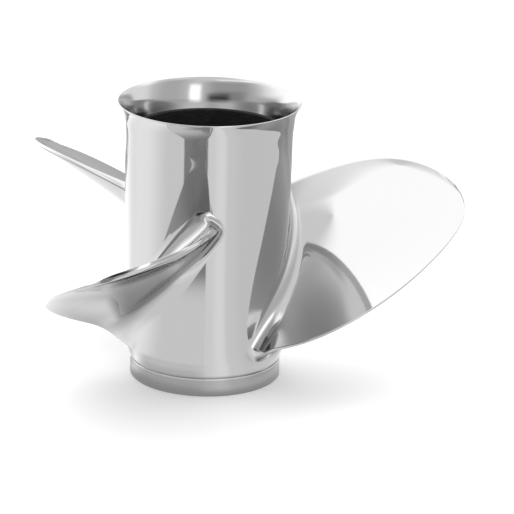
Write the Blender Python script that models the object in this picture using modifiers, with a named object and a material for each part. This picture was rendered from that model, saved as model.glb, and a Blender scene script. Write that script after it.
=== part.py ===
"""Three-blade stainless outboard propeller with a through-hub exhaust barrel.

Metres, +Z up. The origin is the centre of the front collar's bottom face and +Z is the shaft axis,
from the front end, which meets the gearcase, to the flared aft end. Angles are degrees
counter-clockwise from +X, seen from aft.
"""
import math

import bmesh
import bpy
from mathutils import Matrix, Vector

# Barrel, collar and flared ring, as (radius, height) points down the outside or up the inside
LENGTH = 0.2028
COLLAR_TOP = 0.010
RING_BOTTOM = 0.178
COLLAR_RADIUS = 0.054
COLLAR_BORE = 0.0500
BARREL_BORE = 0.0537
BARREL_OUTSIDE = [
    (0.0595, RING_BOTTOM), (0.0593, 0.165), (0.05895, 0.142), (0.0575, 0.078), (0.0575, 0.018),
    (0.05725, 0.0156), (0.0567, 0.0139), (0.0560, 0.0134), (0.0544, 0.0132), (0.0551, 0.0126),
    (0.0551, 0.0112), (0.0542, COLLAR_TOP),
]
BARREL_INSIDE = [(0.0500, COLLAR_TOP), (0.0500, 0.014), (BARREL_BORE, 0.020), (BARREL_BORE, 0.110),
                 (0.0556, RING_BOTTOM)]
RING_OUTSIDE = [(0.0647, LENGTH), (0.0652, 0.2024), (0.0650, 0.2016), (0.0631, 0.199),
                (0.0612, 0.194), (0.0603, 0.187), (0.0595, RING_BOTTOM)]
RING_INSIDE = [(0.0556, RING_BOTTOM), (0.0566, 0.182), (0.0577, 0.188), (0.0592, 0.194),
               (0.0614, 0.199), (0.0639, LENGTH)]
ROUND_STEPS = 64
GAP = 0.0003

# Inner hub, ribs, bushing and sleeve
HUB_RADIUS = 0.034
HUB_BORE = 0.0285
HUB_BOTTOM = 0.008
HUB_TOP = 0.108
RIB_THICKNESS = 0.007
RIB_BOTTOM = 0.022
RIB_TOP = 0.100
FIRST_RIB_ANGLE = 30.0
BUSHING_BORE = 0.0176
BUSHING_BOTTOM = 0.014
BUSHING_TOP = 0.102
SLEEVE_RADIUS = 0.0173
SLEEVE_BOTTOM = 0.006
SLEEVE_TOP = 0.112
SPLINE_TEETH = 15
SPLINE_MAJOR = 0.0131
SPLINE_MINOR = 0.0116

# Blades: outline, pitch, rake and thickness, for the blade whose root is centred on FIRST_BLADE_ANGLE
BLADE_COUNT = 3
FIRST_BLADE_ANGLE = -9.0
ROOT_RADIUS = 0.0585
TIP_RADIUS = 0.186
SKEW = (2.6, 4.36, 13.1, 16.6)
HALF_WIDTH = (0.0430, 0.0666, 0.0676, 0.0534)
TIP_FULLNESS = 3.82
ROOT_LEAD = 0.0594
TIP_LEAD = 0.0767
LEAD_GROWTH = 0.0040
MID_HEIGHT = 0.0771
RAKE = 0.203
RAKE_CURVE = -0.0024
CUP_DEPTH = 0.0023
CUP_START = 0.86
FILLET = 0.011
FILLET_START = 0.001
END_FILLET = 0.65
FACE_FLATNESS = 0.35
HEEL_LEAN = 0.5
NOSE_SQUARENESS = 3.6
ROOT_DEPTH = 0.004
FILLET_ROWS = 4
SPAN_ROWS = 11
SIDE_POINTS = 11
NOSE_POINTS = 5


def clear_scene():
    for old in list(bpy.data.objects):
        bpy.data.objects.remove(old, do_unlink=True)


def new_collection(name):
    collection = bpy.data.collections.new(name)
    bpy.context.scene.collection.children.link(collection)
    return collection


def material(name, colour, metallic, roughness):
    made = bpy.data.materials.new(name)
    made.use_nodes = True
    shader = made.node_tree.nodes["Principled BSDF"]
    shader.inputs["Base Color"].default_value = (*colour, 1.0)
    shader.inputs["Metallic"].default_value = metallic
    shader.inputs["Roughness"].default_value = roughness
    made.diffuse_color = (*colour, 1.0)
    return made


def add_object(name, mesh, collection, surface=None):
    made = bpy.data.objects.new(name, mesh)
    collection.objects.link(made)
    if surface:
        mesh.materials.append(surface)
    return made


def turned(name, points, collection, surface=None, closed=True):
    """A body of revolution: the profile runs down its outer side and back up its inner side."""
    mesh = bpy.data.meshes.new(name)
    edges = [(i, i + 1) for i in range(len(points) - 1)]
    if closed:
        edges.append((len(points) - 1, 0))
    mesh.from_pydata([(radius, 0.0, height) for radius, height in points], edges, [])
    made = add_object(name, mesh, collection, surface)
    screw = made.modifiers.new("turn", "SCREW")
    screw.axis = "Z"
    screw.angle = math.tau
    screw.steps = ROUND_STEPS
    screw.render_steps = ROUND_STEPS
    screw.use_merge_vertices = True
    screw.merge_threshold = 0.00001
    screw.use_normal_calculate = False
    return made


def cut(target, cutter):
    boolean = target.modifiers.new("cut", "BOOLEAN")
    boolean.operation = "DIFFERENCE"
    boolean.solver = "EXACT"
    boolean.object = cutter


def barrel_radius(height):
    """The barrel's outer radius at a height, from its profile."""
    points = sorted((z, r) for r, z in BARREL_OUTSIDE)
    below = [p for p in points if p[0] <= height] or [points[0]]
    above = [p for p in points if p[0] >= height] or [points[-1]]
    (z0, r0), (z1, r1) = below[-1], above[0]
    return r0 if z1 == z0 else r0 + (r1 - r0) * (height - z0) / (z1 - z0)


def through_four(values, span):
    """The cubic through four values given at the root, a third, two thirds and the tip."""
    places = (0.0, 1 / 3, 2 / 3, 1.0)
    total = 0.0
    for i, value in enumerate(values):
        weight = 1.0
        for j, place in enumerate(places):
            if j != i:
                weight *= (span - place) / (places[i] - place)
        total += weight * value
    return total


def half_width(span):
    return through_four(HALF_WIDTH, span) * math.sqrt(max(0.0, 1 - max(span, 0.0) ** TIP_FULLNESS))


def lead(span):
    return ROOT_LEAD + (TIP_LEAD - ROOT_LEAD) * span


def mean_point(radius, chordwise):
    """The middle surface, unrolled: distance round the axis and height. 0 is the leading edge."""
    span = (radius - ROOT_RADIUS) / (TIP_RADIUS - ROOT_RADIUS)
    turn = math.radians(through_four(SKEW, span)) + (2 * chordwise - 1) * half_width(span) / radius
    height = MID_HEIGHT + lead(span) * turn + LEAD_GROWTH * turn ** 2
    height += RAKE * (radius - ROOT_RADIUS) + RAKE_CURVE * span ** 2
    height += CUP_DEPTH * max(0.0, (chordwise - CUP_START) / (1 - CUP_START)) ** 1.5
    return Vector((radius * turn, height))


def tip_rounding(span):
    """Thins the last millimetre or so towards the tip, so that the edge there is round."""
    start = 0.985
    past = max(0.0, (span - start) / (1 - start))
    return math.sqrt(max(0.0, 1 - past ** 2))


def edge_thickness(span):
    """Half thickness at the leading and the trailing edge."""
    leading = 0.0007 + 0.0006 * (1 - span) ** 2
    trailing = 0.0015 + 0.0031 * (1 - span) ** 4
    return leading * tip_rounding(span), trailing * tip_rounding(span)


def swell(span, chordwise):
    """How much thicker a section is, on each side, than a straight line from edge to edge."""
    middle = (0.0014 + 0.0044 * max(0.0, 1 - span) ** 1.5) * tip_rounding(span)
    return (middle - sum(edge_thickness(span)) / 2) * 4 * chordwise * (1 - chordwise)


def half_thickness(span, chordwise):
    leading, trailing = edge_thickness(span)
    return leading + (trailing - leading) * chordwise + swell(span, chordwise)


def chord_frame(radius, chordwise):
    """The middle of a section with its directions along the chord and square to it.

    The middle sinks by a share of the swell, so that the pressure face is the flatter of the two.
    """
    step = 0.002
    span = (radius - ROOT_RADIUS) / (TIP_RADIUS - ROOT_RADIUS)
    along = mean_point(radius, chordwise + step) - mean_point(radius, chordwise - step)
    along.normalize()
    out = Vector((-along.y, along.x))
    return mean_point(radius, chordwise) - out * FACE_FLATNESS * swell(span, chordwise), along, out


def heel_lean(place, fillet):
    """Near the trailing edge the fillet leans towards the pressure side, and more as it widens."""
    share = min(1.0, max(0.0, (place - 0.5) / 0.45))
    return HEEL_LEAN * fillet * share * share * (3 - 2 * share)


def section(radius, fillet):
    """One closed blade section at a radius, grown outwards by the fillet, as unrolled points."""
    span = (radius - ROOT_RADIUS) / (TIP_RADIUS - ROOT_RADIUS)
    leading, trailing = edge_thickness(span)
    chord = (mean_point(radius, CUP_START) - mean_point(radius, 0.0)).length / CUP_START
    first = min(0.4, leading / chord)
    last = 1 - min(0.4, trailing / chord)
    spread = [0.5 - 0.5 * math.cos(math.pi * i / (SIDE_POINTS - 1)) for i in range(SIDE_POINTS)]
    places = [first + (last - first) * (0.7 * s + 0.3 * i / (SIDE_POINTS - 1))
              for i, s in enumerate(spread)]
    points = []
    for place in places:
        centre, _, out = chord_frame(radius, place)
        reach = half_thickness(span, place) + fillet
        points.append(centre + out * (reach + heel_lean(place, fillet)))
    points += nose(radius, last, half_thickness(span, last), fillet, 1.0)
    for place in reversed(places):
        centre, _, out = chord_frame(radius, place)
        reach = half_thickness(span, place) + fillet
        points.append(centre - out * (reach - heel_lean(place, fillet)))
    points += nose(radius, first, half_thickness(span, first), fillet, -1.0)
    return points


def nose(radius, place, thickness, fillet, facing):
    """The end of a section, from its upper to its lower side: round, and squarer at the trailing edge."""
    centre, along, out = chord_frame(radius, place)
    centre += out * heel_lean(place, fillet)
    power = 2 / (NOSE_SQUARENESS if facing > 0 else 2.0)
    points = []
    for i in range(1, NOSE_POINTS + 1):
        angle = math.pi * i / (NOSE_POINTS + 1)
        forward, across = math.sin(angle), math.cos(angle)
        edge = along * forward ** power + out * math.copysign(abs(across) ** power, across)
        growth = fillet * (1 - (1 - END_FILLET) * forward)
        points.append(centre + facing * (edge * thickness + (along * forward + out * across) * growth))
    return points


def blade_rows():
    """Radius and fillet growth of each section, from inside the barrel wall out to the tip."""
    rows = [(ROOT_RADIUS - ROOT_DEPTH, fillet_growth(FILLET_START))]
    start = math.acos(1 - FILLET_START / FILLET)
    for i in range(FILLET_ROWS):
        angle = start + (math.pi / 2 - start) * i / FILLET_ROWS
        height = FILLET * (1 - math.cos(angle))
        rows.append((ROOT_RADIUS + height, fillet_growth(height)))
    inner = ROOT_RADIUS + FILLET
    for i in range(SPAN_ROWS + 1):
        share = math.sin(math.pi / 2 * (0.995 * i / SPAN_ROWS))
        rows.append((inner + (TIP_RADIUS - inner) * share, 0.0))
    return rows


def fillet_growth(height):
    reach = FILLET - height
    return FILLET - math.sqrt(FILLET ** 2 - reach ** 2)


def follow_barrel(radius, height):
    """Near the root a section follows the barrel, whose radius varies a little with height."""
    near = min(1.0, max(0.0, (radius - ROOT_RADIUS) / 0.03))
    share = 1 - near * near * (3 - 2 * near)
    return radius + (barrel_radius(height) - ROOT_RADIUS) * share


def blade(index, collection, surface, cutter):
    """A blade lofted through its sections and trimmed to the barrel."""
    name = f"blade_{index + 1}"
    start = math.radians(FIRST_BLADE_ANGLE + index * 360 / BLADE_COUNT)
    shape = bmesh.new()
    loops = []
    for radius, fillet in blade_rows():
        loop = []
        for point in section(radius, fillet):
            reach = follow_barrel(radius, point.y)
            turn = start + point.x / radius
            loop.append(shape.verts.new((reach * math.cos(turn), reach * math.sin(turn), point.y)))
        loops.append(loop)
    count = len(loops[0])
    for inner, outer in zip(loops, loops[1:]):
        for i in range(count):
            j = (i + 1) % count
            shape.faces.new((inner[i], inner[j], outer[j], outer[i]))
    shape.faces.new(reversed(loops[0]))
    shape.faces.new(loops[-1])
    bmesh.ops.recalc_face_normals(shape, faces=shape.faces)
    bmesh.ops.triangulate(shape, faces=shape.faces)
    mesh = bpy.data.meshes.new(name)
    shape.to_mesh(mesh)
    shape.free()
    mesh.shade_smooth()
    mesh.set_sharp_from_angle(angle=math.radians(40))
    made = add_object(name, mesh, collection, surface)
    cut(made, cutter)
    return made


def barrel_cutter(collection):
    """The barrel's outside, grown by the gap and closed to the axis."""
    top, bottom = LENGTH + 0.01, -0.01
    outside = [(radius + GAP, height) for radius, height in BARREL_OUTSIDE]
    points = [(0.0, top), (outside[0][0], top), *outside, (outside[-1][0], bottom), (0.0, bottom)]
    cutter = turned("barrel_cutter", points, collection, closed=False)
    cutter.hide_render = True
    cutter.display_type = "WIRE"
    return cutter


def rib(index, collection, surface):
    """A radial rib between the inner hub and the barrel, square at both ends."""
    inner = HUB_RADIUS + GAP
    corner = BARREL_BORE * math.cos(math.pi / ROUND_STEPS) - GAP
    outer = math.sqrt(corner ** 2 - (RIB_THICKNESS / 2) ** 2)
    angle = math.radians(FIRST_RIB_ANGLE + index * 360 / BLADE_COUNT)
    shape = bmesh.new()
    bmesh.ops.create_cube(shape, size=1.0)
    size = Matrix.Diagonal((outer - inner, RIB_THICKNESS, RIB_TOP - RIB_BOTTOM, 1.0))
    bmesh.ops.transform(shape, matrix=size, verts=shape.verts)
    mesh = bpy.data.meshes.new(f"rib_{index + 1}")
    shape.to_mesh(mesh)
    shape.free()
    made = add_object(f"rib_{index + 1}", mesh, collection, surface)
    middle = (inner + outer) / 2
    made.location = (middle * math.cos(angle), middle * math.sin(angle), (RIB_TOP + RIB_BOTTOM) / 2)
    made.rotation_euler = (0.0, 0.0, angle)
    bevel = made.modifiers.new("edges", "BEVEL")
    bevel.width = 0.001
    bevel.segments = 1
    return made


def tube(name, outer, inner, bottom, top, chamfer, collection, surface):
    """A turned sleeve with chamfered ends."""
    points = [
        (inner + chamfer, top), (outer - chamfer, top), (outer, top - chamfer),
        (outer, bottom + chamfer), (outer - chamfer, bottom), (inner + chamfer, bottom),
        (inner, bottom + chamfer), (inner, top - chamfer),
    ]
    return turned(name, points, collection, surface)


def ring_outline(curve, radii):
    """A closed straight-sided outline through equally spaced points at the given radii."""
    spline = curve.splines.new("POLY")
    spline.points.add(len(radii) - 1)
    for i, radius in enumerate(radii):
        angle = math.tau * i / len(radii)
        spline.points[i].co = (radius * math.cos(angle), radius * math.sin(angle), 0.0, 1.0)
    spline.use_cyclic_u = True


def spline_sleeve(collection, surface):
    """The brass drive sleeve with its splined bore."""
    curve = bpy.data.curves.new("spline_sleeve", "CURVE")
    curve.dimensions = "2D"
    curve.fill_mode = "BOTH"
    curve.extrude = (SLEEVE_TOP - SLEEVE_BOTTOM) / 2
    ring_outline(curve, [SLEEVE_RADIUS] * (SPLINE_TEETH * 4))
    tooth = (SPLINE_MAJOR, SPLINE_MAJOR, SPLINE_MINOR, SPLINE_MINOR)
    ring_outline(curve, tooth * SPLINE_TEETH)
    drawn = bpy.data.objects.new("sleeve_outline", curve)
    collection.objects.link(drawn)
    drawn.location.z = (SLEEVE_TOP + SLEEVE_BOTTOM) / 2
    bpy.context.view_layer.update()
    evaluated = drawn.evaluated_get(bpy.context.evaluated_depsgraph_get())
    mesh = bpy.data.meshes.new_from_object(evaluated)
    mesh.name = "spline_sleeve"
    shape = bmesh.new()
    shape.from_mesh(mesh)
    bmesh.ops.remove_doubles(shape, verts=shape.verts, dist=0.000001)
    shape.to_mesh(mesh)
    shape.free()
    mesh.materials.clear()
    made = add_object("spline_sleeve", mesh, collection, surface)
    made.matrix_world = drawn.matrix_world.copy()
    bpy.data.objects.remove(drawn)
    return made


def main():
    clear_scene()
    parts = new_collection("propeller")
    cutters = new_collection("cutters")
    polished = material("polished_stainless", (0.62, 0.62, 0.63), 1.0, 0.08)
    turned_steel = material("turned_stainless", (0.55, 0.55, 0.56), 1.0, 0.28)
    cast = material("dark_cast_stainless", (0.035, 0.035, 0.037), 0.6, 0.6)
    rubber = material("black_rubber", (0.02, 0.02, 0.02), 0.0, 0.7)
    brass = material("brass", (0.70, 0.50, 0.22), 1.0, 0.3)

    collar = [(COLLAR_BORE + 0.001, 0.0), (COLLAR_BORE, 0.001), (COLLAR_BORE, COLLAR_TOP),
              (COLLAR_RADIUS, COLLAR_TOP), (COLLAR_RADIUS, 0.0006), (COLLAR_RADIUS - 0.0006, 0.0)]
    turned("front_collar", collar, parts, turned_steel)
    turned("barrel", BARREL_OUTSIDE + BARREL_INSIDE, parts, polished)
    turned("flared_ring", RING_OUTSIDE + RING_INSIDE, parts, polished)
    cutter = barrel_cutter(cutters)
    for index in range(BLADE_COUNT):
        blade(index, parts, polished, cutter)
    for index in range(BLADE_COUNT):
        rib(index, parts, cast)
    tube("inner_hub", HUB_RADIUS, HUB_BORE, HUB_BOTTOM, HUB_TOP, 0.001, parts, cast)
    tube("rubber_bushing", HUB_BORE - GAP, BUSHING_BORE, BUSHING_BOTTOM, BUSHING_TOP, 0.0015,
         parts, rubber)
    spline_sleeve(parts, brass)


main()
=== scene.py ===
# %% [markdown]
# # A polished stainless outboard propeller
#
# The real thing is one investment casting, ground and mirror polished: a tall exhaust barrel with a
# flared aft lip, and three broad cupped blades that run into it through generous fillets. Inside are the
# parts that polish never reaches: rough cast ribs and hub, a rubber bushing and a brass drive sleeve.
#
# A mirror finish shows every facet and every kink, so each surface here is worked out from the same
# few curves and made dense enough that its reflections flow. The frame holds the engineering model,
# and every piece below stands for one or more of its nodes.

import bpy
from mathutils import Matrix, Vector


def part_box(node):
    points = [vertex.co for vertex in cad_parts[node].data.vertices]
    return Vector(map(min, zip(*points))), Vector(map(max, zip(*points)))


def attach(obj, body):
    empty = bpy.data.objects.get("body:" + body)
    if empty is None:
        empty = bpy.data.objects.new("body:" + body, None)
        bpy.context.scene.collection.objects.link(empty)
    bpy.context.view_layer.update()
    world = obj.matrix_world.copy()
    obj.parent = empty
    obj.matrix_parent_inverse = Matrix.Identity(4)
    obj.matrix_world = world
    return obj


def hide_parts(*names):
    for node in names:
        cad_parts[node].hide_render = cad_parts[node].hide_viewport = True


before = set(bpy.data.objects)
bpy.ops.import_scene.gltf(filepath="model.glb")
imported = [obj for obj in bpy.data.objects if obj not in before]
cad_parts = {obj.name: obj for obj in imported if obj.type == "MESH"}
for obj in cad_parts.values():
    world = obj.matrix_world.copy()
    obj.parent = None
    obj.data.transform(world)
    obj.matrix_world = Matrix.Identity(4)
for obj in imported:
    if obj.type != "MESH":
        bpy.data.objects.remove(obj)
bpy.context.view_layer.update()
print("frame nodes:", len(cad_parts))

# %% Tools
import math

import bmesh
import bpy
from mathutils import Matrix, Vector

print("made with", bpy.app.version_string)

# %% [markdown]
# ## The barrel's outline
#
# A turned surface is one outline swept round an axis. It could be a few straight tapers, but in the
# polish each corner between them would show as a ring. So the points below are joined by smooth spans.
# Each point is a height above the collar's foot and a radius. The driving sizes are read off the frame
# where it has them.

# %% Driving sizes, in metres
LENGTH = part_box("flared_ring")[1].z
COLLAR_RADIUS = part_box("front_collar")[1].x
COLLAR_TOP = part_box("front_collar")[1].z
BARREL_BORE = 0.0537
FOOT_BORE = 0.0500
BARREL_FOOT = 0.0100
BARREL_OUTSIDE = [
    (0.0145, 0.0541), (0.017, 0.0549), (0.0195, 0.0558), (0.0225, 0.0567),
    (0.0255, 0.0573), (0.029, 0.0575), (0.050, 0.0575), (0.078, 0.0575),
    (0.110, 0.0582), (0.142, 0.05895), (0.165, 0.0593), (0.178, 0.0595),
    (0.187, 0.0603), (0.194, 0.0612), (0.199, 0.0631), (0.2022, 0.0651),
]
print("length", round(LENGTH, 4), "collar", round(COLLAR_RADIUS, 4))


# %% A smooth radius between given heights
def smooth_radius(points, height):
    """Hermite span through (height, radius) points, with slopes taken from the neighbours."""
    height = min(max(height, points[0][0]), points[-1][0])
    i = max(j for j in range(len(points) - 1) if points[j][0] <= height)

    def slope(k):
        low, high = points[max(k - 1, 0)], points[min(k + 1, len(points) - 1)]
        return (high[1] - low[1]) / (high[0] - low[0])

    (z0, r0), (z1, r1) = points[i], points[i + 1]
    width = z1 - z0
    t = (height - z0) / width
    rise = t * t * (3 - 2 * t)
    return (r0 + (r1 - r0) * rise + width * slope(i) * t * (1 - t) ** 2
            - width * slope(i + 1) * t * t * (1 - t))


def barrel_radius(height):
    return smooth_radius(BARREL_OUTSIDE, height)


print("barrel radius at mid height:", round(barrel_radius(0.1), 5))


# %% [markdown]
# ## Turning a shape into a piece
#
# Every piece goes the same way: a mesh is shaped, gets its materials, and the nodes of the engineering
# model that it stands for are hidden. Two kinds of shape do for all of them. Turned ones are an outline
# spun round the shaft axis. Blades, ribs and the toothed sleeve are a flat grid that is wrapped round
# like a sleeve of cloth and pulled to its sections, so that all faces run along the form.

# %% From a mesh to a piece
ROUND_STEPS = 288
MERGE_DISTANCE = 0.0000005


def finished(name, shape, materials, nodes, smooth_angle=35.0):
    """Turns a bmesh into a piece that rides on the one body, and hides the CAD nodes that it stands for."""
    mesh = bpy.data.meshes.new(name)
    shape.to_mesh(mesh)
    shape.free()
    for surface in materials:
        mesh.materials.append(surface)
    mesh.shade_smooth()
    mesh.set_sharp_from_angle(angle=math.radians(smooth_angle))
    piece = bpy.data.objects.new(name, mesh)
    bpy.context.scene.collection.objects.link(piece)
    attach(piece, "root")
    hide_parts(*nodes)
    print(name, "faces", len(mesh.polygons))
    return piece


print("pieces so far:", len(bpy.data.meshes) - len(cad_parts))


# %% Two ways to make a shape
def spin_outline(points, steps=ROUND_STEPS):
    """Sweeps a closed outline of (radius, height) points once round the shaft axis."""
    shape = bmesh.new()
    verts = [shape.verts.new((radius, 0.0, height)) for radius, height in points]
    edges = [shape.edges.new((a, b)) for a, b in zip(verts, verts[1:] + verts[:1])]
    bmesh.ops.spin(shape, geom=verts + edges, cent=(0, 0, 0), axis=(0, 0, 1), angle=math.tau,
                   steps=steps, use_merge=True, use_normal_flip=False, use_duplicate=False)
    bmesh.ops.recalc_face_normals(shape, faces=shape.faces)
    return shape


def wrapped_grid(columns, rows, place, closed):
    """A flat grid wrapped round: columns always close up, and rows only if closed is true."""
    shape = bmesh.new()
    spans = rows if closed else rows - 1
    bmesh.ops.create_grid(shape, x_segments=columns, y_segments=spans, size=0.5)
    for vert in shape.verts:
        column = round((vert.co.x + 0.5) * columns) % columns
        row = round((vert.co.y + 0.5) * spans) % rows
        vert.co = place(column, row)
    bmesh.ops.remove_doubles(shape, verts=shape.verts, dist=MERGE_DISTANCE)
    return shape


print("steps round a turned piece:", ROUND_STEPS)


# %% [markdown]
# ## Materials
#
# Polished stainless is almost only reflection. What tells it from chrome is its softer grey, the faint
# waviness that hand polishing leaves, which makes the edges of reflections wander, and hair-fine wheel
# marks. It could be a plain mirror with a picture of scratches laid over it, but noise in the piece's
# own coordinates has no seams and needs no unwrapping.
#
# Three effects serve more than one finish: hand polish, cast grain and lathe rings. Each is a shader
# group with named inputs, built once and placed in every material that has it, with its own values.


# %% Node helpers
def math_node(tree, operation, *values):
    node = tree.nodes.new("ShaderNodeMath")
    node.operation = operation
    for socket, value in zip(node.inputs, values):
        if isinstance(value, (int, float)):
            socket.default_value = value
        else:
            tree.links.new(value, socket)
    return node.outputs[0]


def ramp_node(tree, value, start, end, first, last, smooth=True):
    """Goes from first to last as the value goes from start to end. Each may be a number or a socket."""
    node = tree.nodes.new("ShaderNodeMapRange")
    node.interpolation_type = "SMOOTHSTEP" if smooth else "LINEAR"
    tree.links.new(value, node.inputs["Value"])
    for name, bound in zip(("From Min", "From Max", "To Min", "To Max"), (start, end, first, last)):
        if isinstance(bound, (int, float)):
            node.inputs[name].default_value = bound
        else:
            tree.links.new(bound, node.inputs[name])
    return node.outputs["Result"]


print("nodes are added by", math_node.__name__, "and", ramp_node.__name__)


# %% Noise and empty groups
def noise_node(tree, vector, scale, detail):
    node = tree.nodes.new("ShaderNodeTexNoise")
    node.inputs["Scale"].default_value = scale
    node.inputs["Detail"].default_value = detail
    tree.links.new(vector, node.inputs["Vector"])
    return node


def new_group(name, inputs, outputs):
    """An empty shader group, with the sockets that it takes in and gives out by name."""
    group = bpy.data.node_groups.new(name, "ShaderNodeTree")
    for label in inputs:
        group.interface.new_socket(label, in_out="INPUT", socket_type="NodeSocketFloat")
    for label in outputs:
        group.interface.new_socket(label, in_out="OUTPUT", socket_type="NodeSocketFloat")
    taken = group.nodes.new("NodeGroupInput").outputs
    given = group.nodes.new("NodeGroupOutput").inputs
    place = group.nodes.new("ShaderNodeTexCoord").outputs["Object"]
    return group, taken, given, place


print("groups so far:", len(bpy.data.node_groups))

# %% [markdown]
# ### Hand polish
#
# A buffing wheel leaves two things: a slow waviness, which bends the edges of reflections, and marks too
# fine to see singly, which blur them a little. Real dents could be pushed into the mesh, but they are
# far shallower than its faces are wide, so both are heights that only tilt the light.

# %% Shader group: waviness and wheel marks
WAVES_PER_METRE = 26.0
WHEEL_MARKS = (90.0, 90.0, 1500.0)
MARK_ROUGHNESS = 0.05


def polish_group():
    """Height and roughness of a hand-polished surface, in the piece's own coordinates."""
    group, taken, given, place = new_group(
        "hand_polish", ("Marks", "Waves", "Base Roughness"), ("Height", "Roughness"))
    wave = noise_node(group, place, WAVES_PER_METRE, 1.5)
    wave.inputs["Roughness"].default_value = 0.4
    stretch = group.nodes.new("ShaderNodeMapping")
    stretch.inputs["Scale"].default_value = WHEEL_MARKS
    group.links.new(place, stretch.inputs["Vector"])
    hair = noise_node(group, stretch.outputs["Vector"], 1.0, 3.0).outputs["Fac"]
    wave_height = math_node(group, "MULTIPLY", wave.outputs["Fac"], taken["Waves"])
    hair_height = math_node(group, "MULTIPLY", hair, taken["Marks"])
    group.links.new(math_node(group, "ADD", wave_height, hair_height), given["Height"])
    rough = math_node(group, "MULTIPLY_ADD", hair, MARK_ROUGHNESS, taken["Base Roughness"])
    group.links.new(rough, given["Roughness"])
    return group


HAND_POLISH = polish_group()
print("group:", HAND_POLISH.name)


# %% [markdown]
# ### Cast grain
#
# Where no wheel reaches, the metal keeps the skin of its mould: a dull, blotchy tone with fine pits. The
# moulded rubber has such a skin too. A cloudy noise gives the blotches and a cell pattern the pits, and
# only the group's tone and height go out, so that each material can have its own colours and depth.

# %% Shader group: cast grain
def grain_group():
    """The mottled tone and the fine pits that a mould leaves."""
    group, taken, given, place = new_group(
        "cast_grain", ("Mottles per Metre", "Pits per Metre"), ("Tone", "Height"))
    mottle = noise_node(group, place, 1.0, 6.0)
    group.links.new(taken["Mottles per Metre"], mottle.inputs["Scale"])
    pits = group.nodes.new("ShaderNodeTexVoronoi")
    group.links.new(place, pits.inputs["Vector"])
    group.links.new(taken["Pits per Metre"], pits.inputs["Scale"])
    group.links.new(mottle.outputs["Fac"], given["Tone"])
    group.links.new(pits.outputs["Distance"], given["Height"])
    return group


CAST_GRAIN = grain_group()
print("group:", CAST_GRAIN.name)

# %% [markdown]
# ### Lathe rings
#
# A lathe tool cuts rings round the axis, as far apart as the tool moves on with each turn. A wave along
# the axis would be too even, so it is a noise stretched out round the axis and pressed together along
# it. The rings break off here and there, as they do where a tool chatters.

# %% Shader group: lathe rings
RING_BREAKS = 3.0


def rings_group():
    """Fine rings left by the lathe, close together along the axis, in height and in roughness."""
    group, taken, given, place = new_group(
        "lathe_rings", ("Rings per Metre", "Finest", "Coarsest"), ("Height", "Roughness"))
    scale = group.nodes.new("ShaderNodeCombineXYZ")
    scale.inputs["X"].default_value = RING_BREAKS
    scale.inputs["Y"].default_value = RING_BREAKS
    group.links.new(taken["Rings per Metre"], scale.inputs["Z"])
    stretch = group.nodes.new("ShaderNodeMapping")
    group.links.new(scale.outputs["Vector"], stretch.inputs["Scale"])
    group.links.new(place, stretch.inputs["Vector"])
    rings = noise_node(group, stretch.outputs["Vector"], 1.0, 4.0).outputs["Fac"]
    rough = ramp_node(group, rings, 0.3, 0.7, taken["Finest"], taken["Coarsest"], smooth=False)
    group.links.new(rings, given["Height"])
    group.links.new(rough, given["Roughness"])
    return group


LATHE_RINGS = rings_group()
print("group:", LATHE_RINGS.name)


# %% [markdown]
# ### The finishes themselves
#
# All of them are the same metal shader, or for rubber the same without metal, with one of the groups in
# it. The colour of polished steel is set well below white, because a mirror that gives back all the
# light looks like silver.


# %% A material with one of the groups in it
def new_material(name, colour, metallic, roughness):
    made = bpy.data.materials.new(name)
    made.use_nodes = True
    shader = made.node_tree.nodes["Principled BSDF"]
    shader.inputs["Base Color"].default_value = (*colour, 1.0)
    shader.inputs["Metallic"].default_value = metallic
    shader.inputs["Roughness"].default_value = roughness
    return made, shader


def with_effect(made, shader, group, values, depth, strength=1.0):
    """Places a group in a material with its own values, and lets its height raise the surface."""
    tree = made.node_tree
    effect = tree.nodes.new("ShaderNodeGroup")
    effect.node_tree = group
    for label, value in values.items():
        effect.inputs[label].default_value = value
    bump = tree.nodes.new("ShaderNodeBump")
    bump.inputs["Strength"].default_value = strength
    bump.inputs["Distance"].default_value = depth
    tree.links.new(effect.outputs["Height"], bump.inputs["Height"])
    tree.links.new(bump.outputs["Normal"], shader.inputs["Normal"])
    if "Roughness" in effect.outputs:
        tree.links.new(effect.outputs["Roughness"], shader.inputs["Roughness"])
    return effect.outputs


print("groups to choose from:", [group.name for group in (HAND_POLISH, CAST_GRAIN, LATHE_RINGS)])

# %% Polished stainless
POLISH_DEPTH = 0.001


def polished(name, colour, roughness, waves, marks):
    """Mirror-polished stainless steel."""
    made, shader = new_material(name, colour, 1.0, roughness)
    values = {"Marks": marks, "Waves": waves, "Base Roughness": roughness}
    with_effect(made, shader, HAND_POLISH, values, POLISH_DEPTH)
    return made


MIRROR = polished("mirror_stainless", (0.50, 0.50, 0.50), 0.03, 0.012, 0.0012)
FLARE = polished("flare_stainless", (0.48, 0.48, 0.48), 0.09, 0.03, 0.004)
print("polished:", MIRROR.name, FLARE.name)

# %% [markdown]
# ### The blades' undersides
#
# Painted shade: where a blade's underside meets the barrel, its base colour is darkened, standing in
# for the shade that falls in that corner. The place could be painted by hand, but two ramps find it by
# themselves: one on how far the surface faces down, and one on its distance from the shaft.

# %% Painted shade in the corner under each blade
UNDERSIDE_STARTS, UNDERSIDE_FULL = -0.45, -0.7
CORNER_ENDS, CORNER_FULL = 0.145, 0.115


def distance_node(tree, point):
    """Distance of a point from the shaft axis."""
    parts = tree.nodes.new("ShaderNodeSeparateXYZ")
    tree.links.new(point, parts.inputs[0])
    squares = [math_node(tree, "POWER", parts.outputs[axis], 2.0) for axis in "XY"]
    return math_node(tree, "SQRT", math_node(tree, "ADD", *squares))


# painted shade: darkens the base colour under a blade, near the barrel, where shade falls
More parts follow.
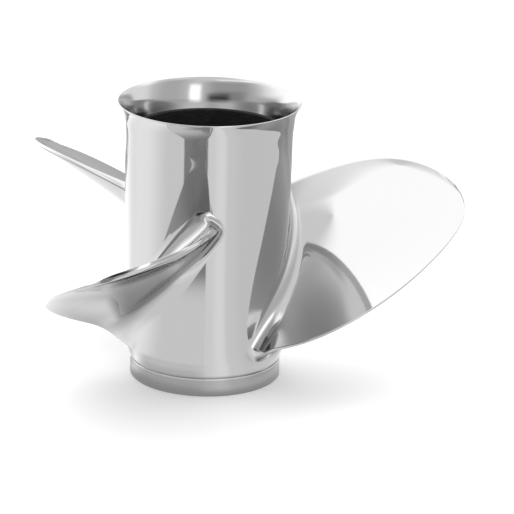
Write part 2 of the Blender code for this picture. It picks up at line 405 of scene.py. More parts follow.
def painted_shade_underneath(made, bright, dark):
    tree = made.node_tree
    place = tree.nodes.new("ShaderNodeTexCoord")
    facing = tree.nodes.new("ShaderNodeSeparateXYZ")
    tree.links.new(place.outputs["Normal"], facing.inputs[0])
    underside = ramp_node(tree, facing.outputs["Z"], UNDERSIDE_STARTS, UNDERSIDE_FULL, 0.0, 1.0,
                          smooth=False)
    corner = ramp_node(tree, distance_node(tree, place.outputs["Object"]), CORNER_ENDS, CORNER_FULL,
                       0.0, 1.0, smooth=False)
    # painted shade: the base colour goes from bright to dark where both ramps are full
    mix = tree.nodes.new("ShaderNodeMix")
    mix.data_type = "RGBA"
    mix.inputs["A"].default_value = (*bright, 1.0)
    mix.inputs["B"].default_value = (*dark, 1.0)
    tree.links.new(math_node(tree, "MULTIPLY", underside, corner), mix.inputs["Factor"])
    tree.links.new(mix.outputs["Result"], tree.nodes["Principled BSDF"].inputs["Base Color"])


BLADE = polished("mirror_stainless_blade", (0.50, 0.50, 0.50), 0.03, 0.012, 0.0012)
# painted shade under the blade roots: base colour 0.5, darkened to 0.3 in the corner
painted_shade_underneath(BLADE, (0.50, 0.50, 0.50), (0.30, 0.30, 0.30))
print("blades:", BLADE.name)


# %% Cast metal, rubber and turned metal
def grained(name, dark, light, metallic, roughness, strength, grain_depth=0.0004):
    """A moulded skin: mottled between two tones, with fine pits."""
    made, shader = new_material(name, dark, metallic, roughness)
    values = {"Mottles per Metre": 140.0, "Pits per Metre": 900.0}
    grain = with_effect(made, shader, CAST_GRAIN, values, grain_depth, strength)
    tones = made.node_tree.nodes.new("ShaderNodeValToRGB")
    tones.color_ramp.elements[0].color = (*dark, 1.0)
    tones.color_ramp.elements[1].color = (*light, 1.0)
    made.node_tree.links.new(grain["Tone"], tones.inputs["Fac"])
    made.node_tree.links.new(tones.outputs["Color"], shader.inputs["Base Color"])
    return made


def lathe_turned(name, colour, roughness, pitch, depth):
    """Machined metal, whose rings are smoother and rougher than the mean by three tenths."""
    made, shader = new_material(name, colour, 1.0, roughness)
    values = {"Rings per Metre": 1.0 / pitch, "Finest": roughness * 0.7, "Coarsest": roughness * 1.3}
    with_effect(made, shader, LATHE_RINGS, values, depth)
    return made


# cast metal is set nearly black, far darker than bare cast steel
CAST = grained("cast_stainless", (0.012, 0.012, 0.013), (0.045, 0.044, 0.043), 0.7, 0.62, 0.7)
RUBBER = grained("moulded_rubber", (0.012, 0.012, 0.012), (0.025, 0.025, 0.025), 0.0, 0.72, 0.35)
COLLAR = lathe_turned("turned_stainless", (0.35, 0.35, 0.355), 0.26, 0.0005, 0.00003)
BRASS = lathe_turned("turned_brass", (0.72, 0.52, 0.24), 0.24, 0.0006, 0.00004)
print("materials:", len(bpy.data.materials))

# %% [markdown]
# ## The barrel with its flared ring
#
# The barrel is the outer tube that the exhaust runs through, and the flare at its aft end keeps that
# exhaust away from the blades. Two tubes end to end would show a seam where the real one has none, so
# one outline is swept for both: up the outside, round the rolled lip, down the trumpet-shaped inside to
# the edge where the polish stops, and on down the rough bore. Each face then takes its finish by where
# it lies. The turned foot starts just under the groove.

# %% Outline of the barrel wall
POLISH_EDGE = 0.1815
TURNED_EDGE = 0.0122
OUTSIDE_ROWS = 150
FLARE_ROWS = 40
FLARE_TOP = 0.2018


def outside_outline():
    """From the foot of the barrel up its outside."""
    groove = [(0.0540, BARREL_FOOT), (0.0540, TURNED_EDGE), (0.0540, 0.0131), (0.0539, 0.0132),
              (0.0530, 0.0134), (0.0528, 0.0137), (0.0530, 0.0140), (0.0539, 0.0142)]
    start, end = BARREL_OUTSIDE[0][0], BARREL_OUTSIDE[-1][0]
    rows = [start + (end - start) * i / OUTSIDE_ROWS for i in range(OUTSIDE_ROWS + 1)]
    return groove + [(barrel_radius(z), z) for z in rows]


def lip_outline():
    """The rolled edge between the outside and the inside."""
    return [(0.06518, 0.20245), (0.0651, 0.20268), (0.0649, LENGTH), (0.0645, LENGTH),
            (0.0641, 0.20265), (0.0638, 0.2023)]


def inside_outline():
    """From the lip down the inside of the wall."""
    flare = [(0.1780, 0.0552), (0.1815, 0.0560), (0.1860, 0.0569), (0.1900, 0.0578), (0.1940, 0.0590),
             (0.1980, 0.0608), (0.2010, 0.0626), (0.2022, 0.0637)]
    rows = [FLARE_TOP - (FLARE_TOP - POLISH_EDGE) * i / FLARE_ROWS for i in range(FLARE_ROWS + 1)]
    bore = [(0.0545, 0.1805), (0.0541, 0.150), (BARREL_BORE, 0.110), (BARREL_BORE, 0.020),
            (0.0510, 0.0145), (FOOT_BORE, 0.0138), (FOOT_BORE, BARREL_FOOT)]
    return [(smooth_radius(flare, z), z) for z in rows] + bore


wall = outside_outline() + lip_outline() + inside_outline()
print("points in the wall's outline:", len(wall))

# %% Sweep the wall and give each face its finish
MIRROR_FACES, FLARE_FACES, CAST_FACES, TURNED_FACES = range(4)
EDGE_MARGIN = 0.0003

shape = spin_outline(wall)
for face in shape.faces:
    middle = face.calc_center_median()
    if face.normal.xy.dot(middle.xy) < 0:
        face.material_index = FLARE_FACES if middle.z > POLISH_EDGE - EDGE_MARGIN else CAST_FACES
    elif middle.z < TURNED_EDGE:
        face.material_index = TURNED_FACES
    else:
        face.material_index = MIRROR_FACES
finished("barrel_skin", shape, [MIRROR, FLARE, CAST, COLLAR],
         ["barrel", "flared_ring"], smooth_angle=30)

# %% [markdown]
# ## The front collar
#
# The foot is cut on a lathe to fit the gearcase, so it is greyer than the polish above it and carries
# fine rings. It could be a short tube with its edges bevelled, but spinning its outline puts the small
# chamfer that catches the light only where the real one has it, at the bottom.

# %% Collar
collar = [(0.0534, 0.0), (0.0538, 0.00025), (COLLAR_RADIUS, 0.0007),
          (COLLAR_RADIUS, COLLAR_TOP), (FOOT_BORE, COLLAR_TOP), (FOOT_BORE, 0.001), (0.0510, 0.0)]
finished("collar_skin", spin_outline(collar), [COLLAR], ["front_collar"])

# %% [markdown]
# ## Blades
#
# A propeller blade is drawn as a set of sections, each wrapped round a cylinder. A section's middle line
# climbs as it goes round, and how fast it climbs is the lead. Here that line also leans aft as the
# radius grows (rake), swings round (skew), and curls up at its trailing edge (cup). The shape could be
# sculpted by eye, but it is worked out section by section instead, as a drawing of the real one is,
# because a mirror shows any dent, and because one shape then serves all three blades.
#
# Each section is a closed loop: two faces and two rounded ends. Near the barrel the loop grows outwards
# as a quarter round, which makes the fillet, and ends tangent to the barrel, so that the polish runs on
# unbroken.

# %% Blade sizes
BLADE_COUNT = 3
FIRST_BLADE_ANGLE = -9.0
ROOT_RADIUS = 0.0585
TIP_RADIUS = 0.186
SKEW = (2.6, 4.36, 13.1, 16.6)
HALF_WIDTH = (0.0430, 0.0666, 0.0676, 0.0534)
TIP_FULLNESS = 3.82
ROOT_LEAD = 0.0594
TIP_LEAD = 0.0767
LEAD_GROWTH = 0.0040
MID_HEIGHT = 0.0771
RAKE = 0.203
RAKE_CURVE = -0.0024
CUP_DEPTH = 0.0023
CUP_START = 0.86
FILLET = 0.011
END_FILLET = 0.65
FLANGE = 0.0015
FACE_FLATNESS = 0.35
HEEL_LEAN = 0.5
NOSE_SQUARENESS = 3.6
TOE_DROP = 0.011
TOE_THICKNESS = 0.0018
TOE_SPAN = 0.013
TOE_FILLET = 0.55
TOE_SHARPNESS = 1.6
print("diameter in inches:", round(2 * TIP_RADIUS / 0.0254, 2))


# %% The middle surface
def through_four(values, span):
    """The cubic through four values given at the root, a third, two thirds and the tip."""
    places = (0.0, 1 / 3, 2 / 3, 1.0)
    total = 0.0
    for i, value in enumerate(values):
        weight = 1.0
        for j, place in enumerate(places):
            if j != i:
                weight *= (span - place) / (places[i] - place)
        total += weight * value
    return total


def half_width(span):
    return through_four(HALF_WIDTH, span) * math.sqrt(max(0.0, 1 - max(span, 0.0) ** TIP_FULLNESS))


def toe(radius):
    """1 at the barrel and fading outwards: there the leading edge runs out into a thicker toe."""
    return math.exp(-((radius - ROOT_RADIUS) / TOE_SPAN) ** 2)


def mean_point(radius, chordwise):
    """The middle surface, unrolled: distance round the axis and height. 0 is the leading edge."""
    span = (radius - ROOT_RADIUS) / (TIP_RADIUS - ROOT_RADIUS)
    turn = math.radians(through_four(SKEW, span)) + (2 * chordwise - 1) * half_width(span) / radius
    lead = ROOT_LEAD + (TIP_LEAD - ROOT_LEAD) * span
    height = MID_HEIGHT + lead * turn + LEAD_GROWTH * turn ** 2
    height += RAKE * (radius - ROOT_RADIUS) + RAKE_CURVE * span ** 2
    height += CUP_DEPTH * max(0.0, (chordwise - CUP_START) / (1 - CUP_START)) ** 1.5
    height -= TOE_DROP * toe(radius) * max(0.0, 1 - 4 * chordwise) ** 2
    return Vector((radius * turn, height))


print("middle surface, leading edge at the barrel:", tuple(round(c, 4) for c in mean_point(ROOT_RADIUS, 0)))

# %% [markdown]
# ### Thickness
#
# A cast blade is thickest at the barrel and in its middle, and thins to a rounded edge in front. This
# kind keeps a thick, nearly square edge at the back. One number for each of the three places would make
# a flat plate, so each has a value at the tip and an amount that the root adds.

# %% Thickness: half of it at the tip, and what the root adds
LEADING_TIP, LEADING_ROOT = 0.0007, 0.0006
TRAILING_TIP, TRAILING_ROOT = 0.0015, 0.0031
MIDDLE_TIP, MIDDLE_ROOT = 0.0014, 0.0044
TIP_ROUNDING = 0.985


def tip_rounding(span):
    """Thins the last couple of millimetres towards the tip, so that the edge there is round."""
    past = max(0.0, (span - TIP_ROUNDING) / (1 - TIP_ROUNDING))
    return math.sqrt(max(0.0, 1 - past ** 2))


def edge_thickness(span):
    """Half thickness at the leading and the trailing edge."""
    leading = LEADING_TIP + LEADING_ROOT * (1 - span) ** 2
    leading += TOE_THICKNESS * toe(ROOT_RADIUS + span * (TIP_RADIUS - ROOT_RADIUS))
    trailing = TRAILING_TIP + TRAILING_ROOT * (1 - span) ** 4
    return leading * tip_rounding(span), trailing * tip_rounding(span)


def swell(span, chordwise):
    """How much thicker a section is, on each side, than a straight line from edge to edge."""
    middle = (MIDDLE_TIP + MIDDLE_ROOT * max(0.0, 1 - span) ** 1.5) * tip_rounding(span)
    return (middle - sum(edge_thickness(span)) / 2) * 4 * chordwise * (1 - chordwise)


def half_thickness(span, chordwise):
    leading, trailing = edge_thickness(span)
    return leading + (trailing - leading) * chordwise + swell(span, chordwise)


print("root thickness mm:", round(2000 * half_thickness(0.0, 0.5), 1))

# %% [markdown]
# ### Sections
#
# A section is drawn by walking round it: along one face, round the trailing edge, back along the other
# face and round the leading edge. The ends could be plain half rounds. The real blade is squarer at the
# back, and at the barrel its front edge runs out into a thicker toe, so both ends have a shape of
# their own.

# %% The frame of a section
CHORD_STEP = 0.002


def chord_frame(radius, chordwise):
    """The middle of a section with its directions along the chord and square to it.

    The middle sinks by the swell, so that the pressure face stays flat and the back takes the curve.
    """
    span = (radius - ROOT_RADIUS) / (TIP_RADIUS - ROOT_RADIUS)
    along = mean_point(radius, chordwise + CHORD_STEP) - mean_point(radius, chordwise - CHORD_STEP)
    along.normalize()
    out = Vector((-along.y, along.x))
    return mean_point(radius, chordwise) - out * FACE_FLATNESS * swell(span, chordwise), along, out


def heel_lean(place, fillet):
    """Near the trailing edge the fillet leans towards the pressure side, and more as it widens."""
    share = min(1.0, max(0.0, (place - 0.5) / 0.45))
    return HEEL_LEAN * fillet * share * share * (3 - 2 * share)


print("widest lean of the heel's fillet mm:", round(1000 * heel_lean(1.0, FILLET), 1))

# %% One closed section
SIDE_POINTS = 78
NOSE_POINTS = 17
MOST_END = 0.4
CROWDING = 0.7


def nose(radius, place, thickness, fillet, facing):
    """The round end of a section, from one side to the other."""
    centre, along, out = chord_frame(radius, place)
    centre += out * heel_lean(place, fillet)
    points = []
    power = 2 / (NOSE_SQUARENESS if facing > 0 else 2.0)
    for i in range(1, NOSE_POINTS + 1):
        angle = math.pi * i / (NOSE_POINTS + 1)
        forward, across = math.sin(angle), math.cos(angle)
        edge = along * forward ** power + out * math.copysign(abs(across) ** power, across)
        if facing > 0:
            spread = (along * forward + out * across) * (1 - (1 - END_FILLET) * forward)
        else:
            spread = along * TOE_FILLET * forward ** TOE_SHARPNESS
            spread += out * math.copysign(abs(across) ** TOE_SHARPNESS, across)
        points.append(centre + facing * (edge * thickness + spread * fillet))
    return points


print("points in a section's end:", NOSE_POINTS)


# %% A whole section
def section(radius, fillet):
    """One closed blade section at a radius, grown outwards by the fillet, as unrolled points."""
    span = (radius - ROOT_RADIUS) / (TIP_RADIUS - ROOT_RADIUS)
    leading, trailing = edge_thickness(span)
    chord = (mean_point(radius, CUP_START) - mean_point(radius, 0.0)).length / CUP_START
    first = min(MOST_END, leading / chord)
    last = 1 - min(MOST_END, trailing / chord)
    shares = [i / (SIDE_POINTS - 1) for i in range(SIDE_POINTS)]
    crowded = [CROWDING * (0.5 - 0.5 * math.cos(math.pi * s)) + (1 - CROWDING) * s for s in shares]
    places = [first + (last - first) * share for share in crowded]
    points = []
    for place in places:
        centre, _, out = chord_frame(radius, place)
        points.append(centre + out * (half_thickness(span, place) + fillet + heel_lean(place, fillet)))
    points += nose(radius, last, half_thickness(span, last), fillet, 1.0)
    for place in reversed(places):
        centre, _, out = chord_frame(radius, place)
        points.append(centre - out * (half_thickness(span, place) + fillet - heel_lean(place, fillet)))
    points += nose(radius, first, half_thickness(span, first), fillet, -1.0)
    return points


print("points round a section:", len(section(ROOT_RADIUS, FILLET)))

# %% [markdown]
# ### From sections to a blade
#
# Sections follow each other from just under the barrel's skin to the tip. Evenly spaced ones would make
# facets where the form turns fast, so they crowd together in the fillet and near the tip. The first
# ones bend with the barrel, whose radius changes a little with height.

# %% Rows of sections from the barrel to the tip
FILLET_ROWS = 20
SPAN_ROWS = 84
LAST_ROW = 0.998
SINK = 0.00004
FOLLOW_DEPTH = 0.03


def blade_rows():
    """Radius, fillet growth and sink of each row. The first rows lie just under the barrel's skin."""
    rows = [(ROOT_RADIUS, FILLET + FLANGE, SINK), (ROOT_RADIUS, FILLET + FLANGE * 0.4, SINK)]
    for i in range(FILLET_ROWS):
        angle = math.pi / 2 * i / FILLET_ROWS
        rows.append((ROOT_RADIUS + FILLET * (1 - math.cos(angle)), FILLET * (1 - math.sin(angle)), 0.0))
    inner = ROOT_RADIUS + FILLET
    for i in range(SPAN_ROWS + 1):
        share = math.sin(math.pi / 2 * (LAST_ROW * i / SPAN_ROWS))
        rows.append((inner + (TIP_RADIUS - inner) * share, 0.0, 0.0))
    return rows


def follow_barrel(radius, height):
    """Near the root a section follows the barrel, whose radius varies a little with height."""
    near = min(1.0, max(0.0, (radius - ROOT_RADIUS) / FOLLOW_DEPTH))
    share = 1 - near * near * (3 - 2 * near)
    return radius + (barrel_radius(height) - ROOT_RADIUS) * share


print("rows from barrel to tip:", len(blade_rows()))


# %% Wrap a grid round the sections
def blade_shape(start):
    """A grid whose columns run round the section and whose rows run out to the tip."""
    rows = blade_rows()
    loops = [section(radius, fillet) for radius, fillet, _ in rows]

    def place(column, row):
        radius, _, sink = rows[row]
        point = loops[row][column]
        reach = follow_barrel(radius, point.y) - sink
        turn = start + point.x / radius
        return reach * math.cos(turn), reach * math.sin(turn), point.y

    shape = wrapped_grid(len(loops[0]), len(rows), place, closed=False)
    rim = [e for e in shape.edges if e.is_boundary]
    bmesh.ops.holes_fill(shape, edges=rim, sides=0)
    bmesh.ops.recalc_face_normals(shape, faces=shape.faces)
    return shape


for number in range(BLADE_COUNT):
    start = math.radians(FIRST_BLADE_ANGLE + number * 360 / BLADE_COUNT)
    finished(f"blade_skin_{number + 1}", blade_shape(start), [BLADE],
             [f"blade_{number + 1}"], smooth_angle=50)

# %% [markdown]
# ## Inside the barrel
#
# These parts show only from the ends. The hub is part of the casting, joined to the barrel by three ribs
# that spread into both of them. Its ends are faced on a lathe. A rubber bushing is pressed into it and
# bulges a little at both ends, and carries the brass sleeve whose teeth take the shaft's drive.
#
# Hub and bushing could be plain tubes, but their rounded and chamfered ends are all that is seen of
# them, so each is an outline spun round the axis. One end is drawn, and the other is its mirror image.

# %% Inner hub and rubber bushing
HUB_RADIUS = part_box("inner_hub")[1].x
HUB_BORE = 0.0285
HUB_STEPS = 144
FLAT_FACE = 0.9
HUB_BOTTOM, HUB_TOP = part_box("inner_hub")[0].z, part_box("inner_hub")[1].z
BUSHING_BORE = 0.0176
BUSHING_BOTTOM, BUSHING_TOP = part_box("rubber_bushing")[0].z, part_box("rubber_bushing")[1].z


def both_ends(profile, bottom, top):
    """A closed outline from the points of its aft end, as (radius, depth below the end)."""
    upper = [(radius, top - depth) for radius, depth in profile]
    return upper + [(radius, bottom + depth) for radius, depth in reversed(profile)]


hub_end = [(HUB_BORE, 0.0012), (HUB_BORE + 0.0008, 0.0), (HUB_RADIUS - 0.0022, 0.0),
           (HUB_RADIUS - 0.0018, 0.0001), (HUB_RADIUS - 0.0016, 0.0005), (HUB_RADIUS - 0.0010, 0.0011),
           (HUB_RADIUS - 0.0004, 0.0019), (HUB_RADIUS - 0.0001, 0.0030), (HUB_RADIUS, 0.0044)]
shape = spin_outline(both_ends(hub_end, HUB_BOTTOM, HUB_TOP), steps=HUB_STEPS)
for face in shape.faces:
    in_bore = face.normal.xy.dot(face.calc_center_median().xy) < 0
    face.material_index = 1 if in_bore or abs(face.normal.z) > FLAT_FACE else 0
finished("inner_hub_skin", shape, [CAST, COLLAR], ["inner_hub"])
rubber_end = [(BUSHING_BORE, 0.0024), (BUSHING_BORE + 0.0006, 0.0014), (BUSHING_BORE + 0.0022, 0.0006),
              (BUSHING_BORE + 0.0045, 0.0001), (BUSHING_BORE + 0.0058, 0.0), (HUB_BORE - 0.0030, 0.0003),
              (HUB_BORE - 0.0014, 0.0010), (HUB_BORE - 0.0006, 0.0020), (HUB_BORE - 0.0003, 0.0034)]
shape = spin_outline(both_ends(rubber_end, BUSHING_BOTTOM, BUSHING_TOP), steps=HUB_STEPS)
finished("rubber_bushing_skin", shape, [RUBBER], ["rubber_bushing"])

# %% [markdown]
# ### The drive sleeve
#
# The brass sleeve has fifteen teeth cut along its bore. They could be cut out one by one, but here the
# outline of one end is given a third number, how deep the teeth are there, and the wrapped grid pulls
# the bore inwards by it, tooth by tooth. So the teeth run out into the chamfers as the real ones do.

# %% Drive sleeve
TEETH = 15
TOOTH_STEEPNESS = 1.1
TOOTH_DEPTH = 0.0015
SLEEVE_RADIUS = 0.0173
SLEEVE_BOTTOM, SLEEVE_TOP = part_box("spline_sleeve")[0].z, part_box("spline_sleeve")[1].z
STEPS_PER_TOOTH = 16
sleeve_end = [(SLEEVE_RADIUS, 0.0008, 0), (SLEEVE_RADIUS - 0.0002, 0.0003, 0),
              (SLEEVE_RADIUS - 0.0007, 0.0, 0), (0.0142, 0.0, 0), (0.0137, 0.0003, 0),
              (0.0131, 0.0012, 0.2), (0.0131, 0.0030, 1)]
sleeve_rows = [(radius, SLEEVE_TOP - depth, share) for radius, depth, share in sleeve_end]
sleeve_rows += [(radius, SLEEVE_BOTTOM + depth, share) for radius, depth, share in reversed(sleeve_end)]


def sleeve_point(column, row):
    radius, height, share = sleeve_rows[row]
    wave = math.cos(math.tau * column / STEPS_PER_TOOTH)
    tooth = min(1.0, max(0.0, 0.5 + TOOTH_STEEPNESS * wave))
    radius -= TOOTH_DEPTH * share * tooth
    turn = math.tau * column / (TEETH * STEPS_PER_TOOTH)
    return radius * math.cos(turn), radius * math.sin(turn), height


shape = wrapped_grid(TEETH * STEPS_PER_TOOTH, len(sleeve_rows), sleeve_point, closed=True)
bmesh.ops.recalc_face_normals(shape, faces=shape.faces)
finished("spline_sleeve_skin", shape, [BRASS], ["spline_sleeve"], smooth_angle=25)

# %% [markdown]
# ### The ribs
#
# Three ribs hold the hub in the barrel. A stretched box would meet both in a hard corner, and a casting
# never has one, so each rib is a wrapped grid whose upright section widens in a quarter round at both
# ends and has rounded corners. Its ends lie just inside the hub and the barrel.

# %% Ribs
RIB_BOTTOM, RIB_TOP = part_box("rib_1")[0].z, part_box("rib_1")[1].z
FIRST_RIB_ANGLE = 30.0
RIB_HALF = 0.0035
RIB_SPREAD = 0.0045
RIB_STATIONS = 28
RIB_ROUND = 0.0022
RIB_CORNER_STEPS = 6
INTO_HUB, INTO_BARREL = 0.0006, 0.0003


def rib_half_width(share):
    """Half the thickness from hub (0) to barrel (1): it spreads in a quarter round at both ends."""
    length = BARREL_BORE - HUB_RADIUS
    near = max(0.0, 1 - min(share, 1 - share) * length / RIB_SPREAD)
    return RIB_HALF + RIB_SPREAD * (1 - math.sqrt(1 - near * near))


def rib_point(column, row):
    """Columns run round an upright section with rounded corners, rows run from the hub to the barrel."""
    share = 0.5 - 0.5 * math.cos(math.pi * row / (RIB_STATIONS - 1))
    half = rib_half_width(share)
    tall = (RIB_TOP - RIB_BOTTOM) / 2
    corner, step = divmod(column, RIB_CORNER_STEPS)
    angle = math.pi / 2 * (corner + step / (RIB_CORNER_STEPS - 1))
    across = (half - RIB_ROUND) * (1, -1, -1, 1)[corner] + RIB_ROUND * math.cos(angle)
    up = (tall - RIB_ROUND) * (1, 1, -1, -1)[corner] + RIB_ROUND * math.sin(angle)
    out = HUB_RADIUS - INTO_HUB + (BARREL_BORE - HUB_RADIUS + INTO_HUB + INTO_BARREL) * share
    return out, across, up + (RIB_TOP + RIB_BOTTOM) / 2


for number in range(BLADE_COUNT):
    shape = wrapped_grid(4 * RIB_CORNER_STEPS, RIB_STATIONS, rib_point, closed=False)
    bmesh.ops.holes_fill(shape, edges=[e for e in shape.edges if e.is_boundary], sides=0)
    angle = math.radians(FIRST_RIB_ANGLE + number * 360 / BLADE_COUNT)
    turn = Matrix.Rotation(angle, 3, "Z")
    bmesh.ops.rotate(shape, cent=(0, 0, 0), matrix=turn, verts=shape.verts)
    bmesh.ops.recalc_face_normals(shape, faces=shape.faces)
    finished(f"rib_skin_{number + 1}", shape, [CAST], [f"rib_{number + 1}"])

# %% [markdown]
# ## Camera
#
# A camera could be moved about until the picture looks right. Here the view was worked out from the
# ellipses of the lip and the collar, whose sizes are known: it looks along +Y, 18.4 degrees down, from
# two and a half metres away, and leans 1.35 degrees to one side.

# %% Camera
FOCAL_PIXELS = 3467.5
PICTURE_PIXELS = 514
ELEVATION = math.radians(18.39)
ROLL = math.radians(1.35)
AIM = Vector((0.03596, 0.0, 0.08748))
DISTANCE = 2.483
SENSOR_MM = 36.0
FARTHEST_SEEN = 50.0

back = Vector((0.0, -math.cos(ELEVATION), math.sin(ELEVATION)))
level = Vector((1.0, 0.0, 0.0))
upward = level.cross(-back)
right = math.cos(ROLL) * level + math.sin(ROLL) * upward
above = math.cos(ROLL) * upward - math.sin(ROLL) * level
camera = bpy.data.objects.new("camera", bpy.data.cameras.new("camera"))
bpy.context.scene.collection.objects.link(camera)
camera.data.sensor_width = SENSOR_MM
camera.data.lens = FOCAL_PIXELS * SENSOR_MM / PICTURE_PIXELS
camera.data.clip_end = FARTHEST_SEEN
turned = Matrix((right, above, back)).transposed().to_4x4()
camera.matrix_world = Matrix.Translation(AIM + back * DISTANCE) @ turned
bpy.context.scene.camera = camera
print("lens mm:", round(camera.data.lens, 1))

# %% [markdown]
# ## Studio
#
# A mirror is only as good as what it mirrors. A few area lights would show in it as hard white shapes,
# and a photograph of a room isn't used here. So the object stands on a pale floor in a white surround
# that is brightest behind and overhead and greyer in front, with a strip light to the right of the
# camera and a lamp on the left. Floor and surround are drawn as soft-edged patches of light: the
# surround by compass bearing and height in degrees, the floor by bearing and distance in metres. A
# bearing of 0 is the camera's side and 90 is to its right. The patches show only in the metal, because
# the camera itself sees a plain white studio.


# %% Node helpers for patches of light
WIDEST_BEARING = 200


def between(tree, value, limits, soft):
    """1 between two limits, fading out over the soft width at both ends."""
    low, high = limits
    rise = ramp_node(tree, value, low - soft / 2, low + soft / 2, 0.0, 1.0)
    fall = ramp_node(tree, value, high - soft / 2, high + soft / 2, 1.0, 0.0)
    return math_node(tree, "MULTIPLY", rise, fall)


def bearing_node(tree, position):
    """Compass bearing in degrees of a position or direction seen from the shaft axis."""
    toward_camera = math_node(tree, "MULTIPLY", position.outputs["Y"], -1.0)
    angle = math_node(tree, "ARCTAN2", position.outputs["X"], toward_camera)
    return math_node(tree, "MULTIPLY", angle, 180 / math.pi)


print("bearings are known up to degrees:", WIDEST_BEARING)


# %% One patch over another
def patchwork(tree, light, bearing, other, patches):
    """Blends the light towards each patch's brightness, one patch over the other."""
    for _, bearings, others, soft_bearing, soft_other, brightness in patches:
        low, high = bearings
        turns = [between(tree, bearing, (low + turn, high + turn), soft_bearing)
                 for turn in (-360, 0, 360)
                 if low + turn < WIDEST_BEARING and high + turn > -WIDEST_BEARING]
        mask = turns[0]
        for turn in turns[1:]:
            mask = math_node(tree, "MAXIMUM", mask, turn)
        mask = math_node(tree, "MULTIPLY", mask, between(tree, other, others, soft_other))
        blend = tree.nodes.new("ShaderNodeMix")
        tree.links.new(mask, blend.inputs["Factor"])
        if isinstance(light, float):
            blend.inputs["A"].default_value = light
        else:
            tree.links.new(light, blend.inputs["A"])
        blend.inputs["B"].default_value = brightness
        light = blend.outputs["Result"]
    return light


def seen_as(tree, for_camera, for_others):
    """One value for what the camera sees directly and another for everything else."""
    choice = tree.nodes.new("ShaderNodeMix")
    camera_ray = tree.nodes.new("ShaderNodeLightPath").outputs["Is Camera Ray"]
    tree.links.new(camera_ray, choice.inputs["Factor"])
    tree.links.new(for_others, choice.inputs["A"])
    choice.inputs["B"].default_value = for_camera
    return choice.outputs["Result"]


print("studio helpers:", patchwork.__name__, seen_as.__name__)

# %% Patches on the floor: name, bearings, distances, softness of both, brightness
STUDIO_POWER = 1.26
FLOOR_LIGHT = 0.86
FLOOR_PATCHES = [
    ("behind, left", (-172, -124), (0, 9), 30, 0.01, 1.22),
    ("left", (-124, -70), (0, 9), 40, 0.01, 1.16),
    ("right", (40, 110), (0, 9), 20, 0.01, 0.80),
    ("right of the camera", (0, 24), (0, 9), 0.5, 0.01, 0.92),
    ("light pool", (11, 24), (0, 9), 10, 0.01, 1.02),
    ("dark cloth", (-31, 0), (0.28, 0.8), 2, 0.04, 0.30),
    ("far, left", (-112, -15), (0.85, 9), 10, 0.12, 0.28),
    ("behind, right", (125, 165), (0, 9), 10, 0.01, 0.42),
    ("far, behind", (162, 190), (0.45, 9), 10, 0.1, 0.45),
    # painted shadows: these patches and the one round the foot darken the floor as the metal sees it, where
    # the blades and the foot shade it
    ("painted shadow under the left blade", (-76, -4), (0, 0.09), 24, 0.02, 0.76),
    ("painted shadow under the left blade's root", (-72, -4), (0, 0.067), 24, 0.012, 0.60),
    ("painted shadow under the right blade", (55, 104), (0.085, 0.14), 20, 0.03, 0.40),
    ("behind the foot, left", (-180, -98), (0, 0.12), 20, 0.05, 0.64),
    ("painted shadow round the foot", (-400, 400), (0, 0.060), 1, 0.012, 0.50),
]
print("patches on the floor:", len(FLOOR_PATCHES))

# %% [markdown]
# ### Floor
#
# The floor is one large square. It shines by itself, as a table lit from above does, and it also takes
# the object's soft shadow where the camera looks at it. Only the camera sees its own colour, because
# the metal takes its light from the patches alone, and the patches under the blades and round the foot
# are painted shadows.

# %% Floor
FLOOR_HALF = 4.0
FLOOR_TINT = 0.86
FLOOR_GLOW = 0.20

floor_shape = bmesh.new()
bmesh.ops.create_grid(floor_shape, x_segments=1, y_segments=1, size=FLOOR_HALF)
floor_mesh = bpy.data.meshes.new("floor")
floor_shape.to_mesh(floor_mesh)
floor_shape.free()
floor = bpy.data.objects.new("floor", floor_mesh)
bpy.context.scene.collection.objects.link(floor)
pale, shader = new_material("pale_floor", (FLOOR_TINT, FLOOR_TINT, FLOOR_TINT), 0.0, 0.9)
shader.inputs["Specular IOR Level"].default_value = 0.0
shader.inputs["Emission Color"].default_value = (1.0, 1.0, 1.0, 1.0)
tree = pale.node_tree
place = tree.nodes.new("ShaderNodeTexCoord").outputs["Object"]
position = tree.nodes.new("ShaderNodeSeparateXYZ")
tree.links.new(place, position.inputs[0])
light = patchwork(tree, FLOOR_LIGHT, bearing_node(tree, position), distance_node(tree, place),
                  FLOOR_PATCHES)
light = math_node(tree, "MULTIPLY", light, STUDIO_POWER)
tree.links.new(seen_as(tree, FLOOR_GLOW, light), shader.inputs["Emission Strength"])
floor_mesh.materials.append(pale)
print("floor metres across:", 2 * FLOOR_HALF)

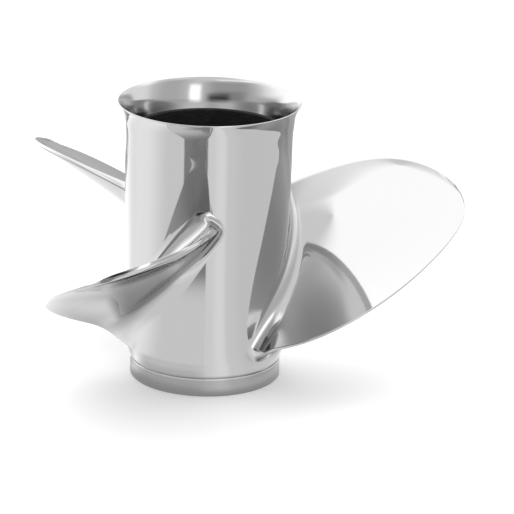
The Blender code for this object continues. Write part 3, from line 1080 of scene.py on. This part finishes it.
# %% The floor's own colour
seen_directly = tree.nodes.new("ShaderNodeLightPath").outputs["Is Camera Ray"]
tint = tree.nodes.new("ShaderNodeCombineColor")
for socket in tint.inputs[:3]:
    tree.links.new(math_node(tree, "MULTIPLY", seen_directly, FLOOR_TINT), socket)
tree.links.new(tint.outputs["Color"], shader.inputs["Base Color"])
print("floor colour seen by the camera:", FLOOR_TINT)

# %% [markdown]
# ### Surround
#
# A real studio would be tents of cloth and cards. Here it is a world colour, which is the same for every
# point of the object, so the reflections stay smooth and cost no light objects.

# %% Patches in the surround: name, bearings, heights, softness of both, brightness
SKY_LIGHT = 0.9
SKY_PATCHES = [
    ("behind, left", (-250, -92), (-90, 80), 50, 20, 1.6),
    ("behind, right", (96, 180), (-90, 45), 20, 30, 1.08),
    ("behind, right, higher", (104, 150), (38, 62), 20, 16, 1.6),
    ("overhead, behind", (80, 285), (62, 99), 90, 20, 1.52),
    ("behind, grey band", (160, 190), (38, 58), 20, 10, 1.0),
    ("front left, grey", (-66, 8), (-90, 48), 40, 14, 0.48),
    ("right, grey", (34, 84), (-90, 58), 40, 24, 0.62),
    ("low, left", (-112, -55), (-90, 14), 24, 14, 0.62),
    ("horizon behind", (128, 194), (-90, 13), 12, 10, 0.5),
    ("front left, low", (-48, -8), (-90, 23), 20, 12, 0.34),
    ("dark gap", (-27, 4), (-20, 15), 12, 10, 0.04),
    ("strip light", (14, 30), (-30, 38), 6, 12, 1.8),
    ("lamp on the left", (-100, -12), (51, 61), 14, 6, 1.4),
]
print("patches in the surround:", len(SKY_PATCHES))

# %% Surround
world = bpy.data.worlds.new("white_surround")
world.use_nodes = True
tree = world.node_tree
background = tree.nodes["Background"]
direction = tree.nodes.new("ShaderNodeSeparateXYZ")
tree.links.new(tree.nodes.new("ShaderNodeTexCoord").outputs["Generated"], direction.inputs[0])
height = math_node(tree, "ARCSINE", direction.outputs["Z"])
height = math_node(tree, "MULTIPLY", height, 180 / math.pi)
light = patchwork(tree, SKY_LIGHT, bearing_node(tree, direction), height, SKY_PATCHES)
light = math_node(tree, "MULTIPLY", light, STUDIO_POWER)
tree.links.new(seen_as(tree, 1.0, light), background.inputs["Strength"])
background.inputs["Color"].default_value = (1.0, 1.0, 1.0, 1.0)
bpy.context.scene.world = world
bpy.context.scene.view_settings.view_transform = "Standard"
print("surround:", world.name)
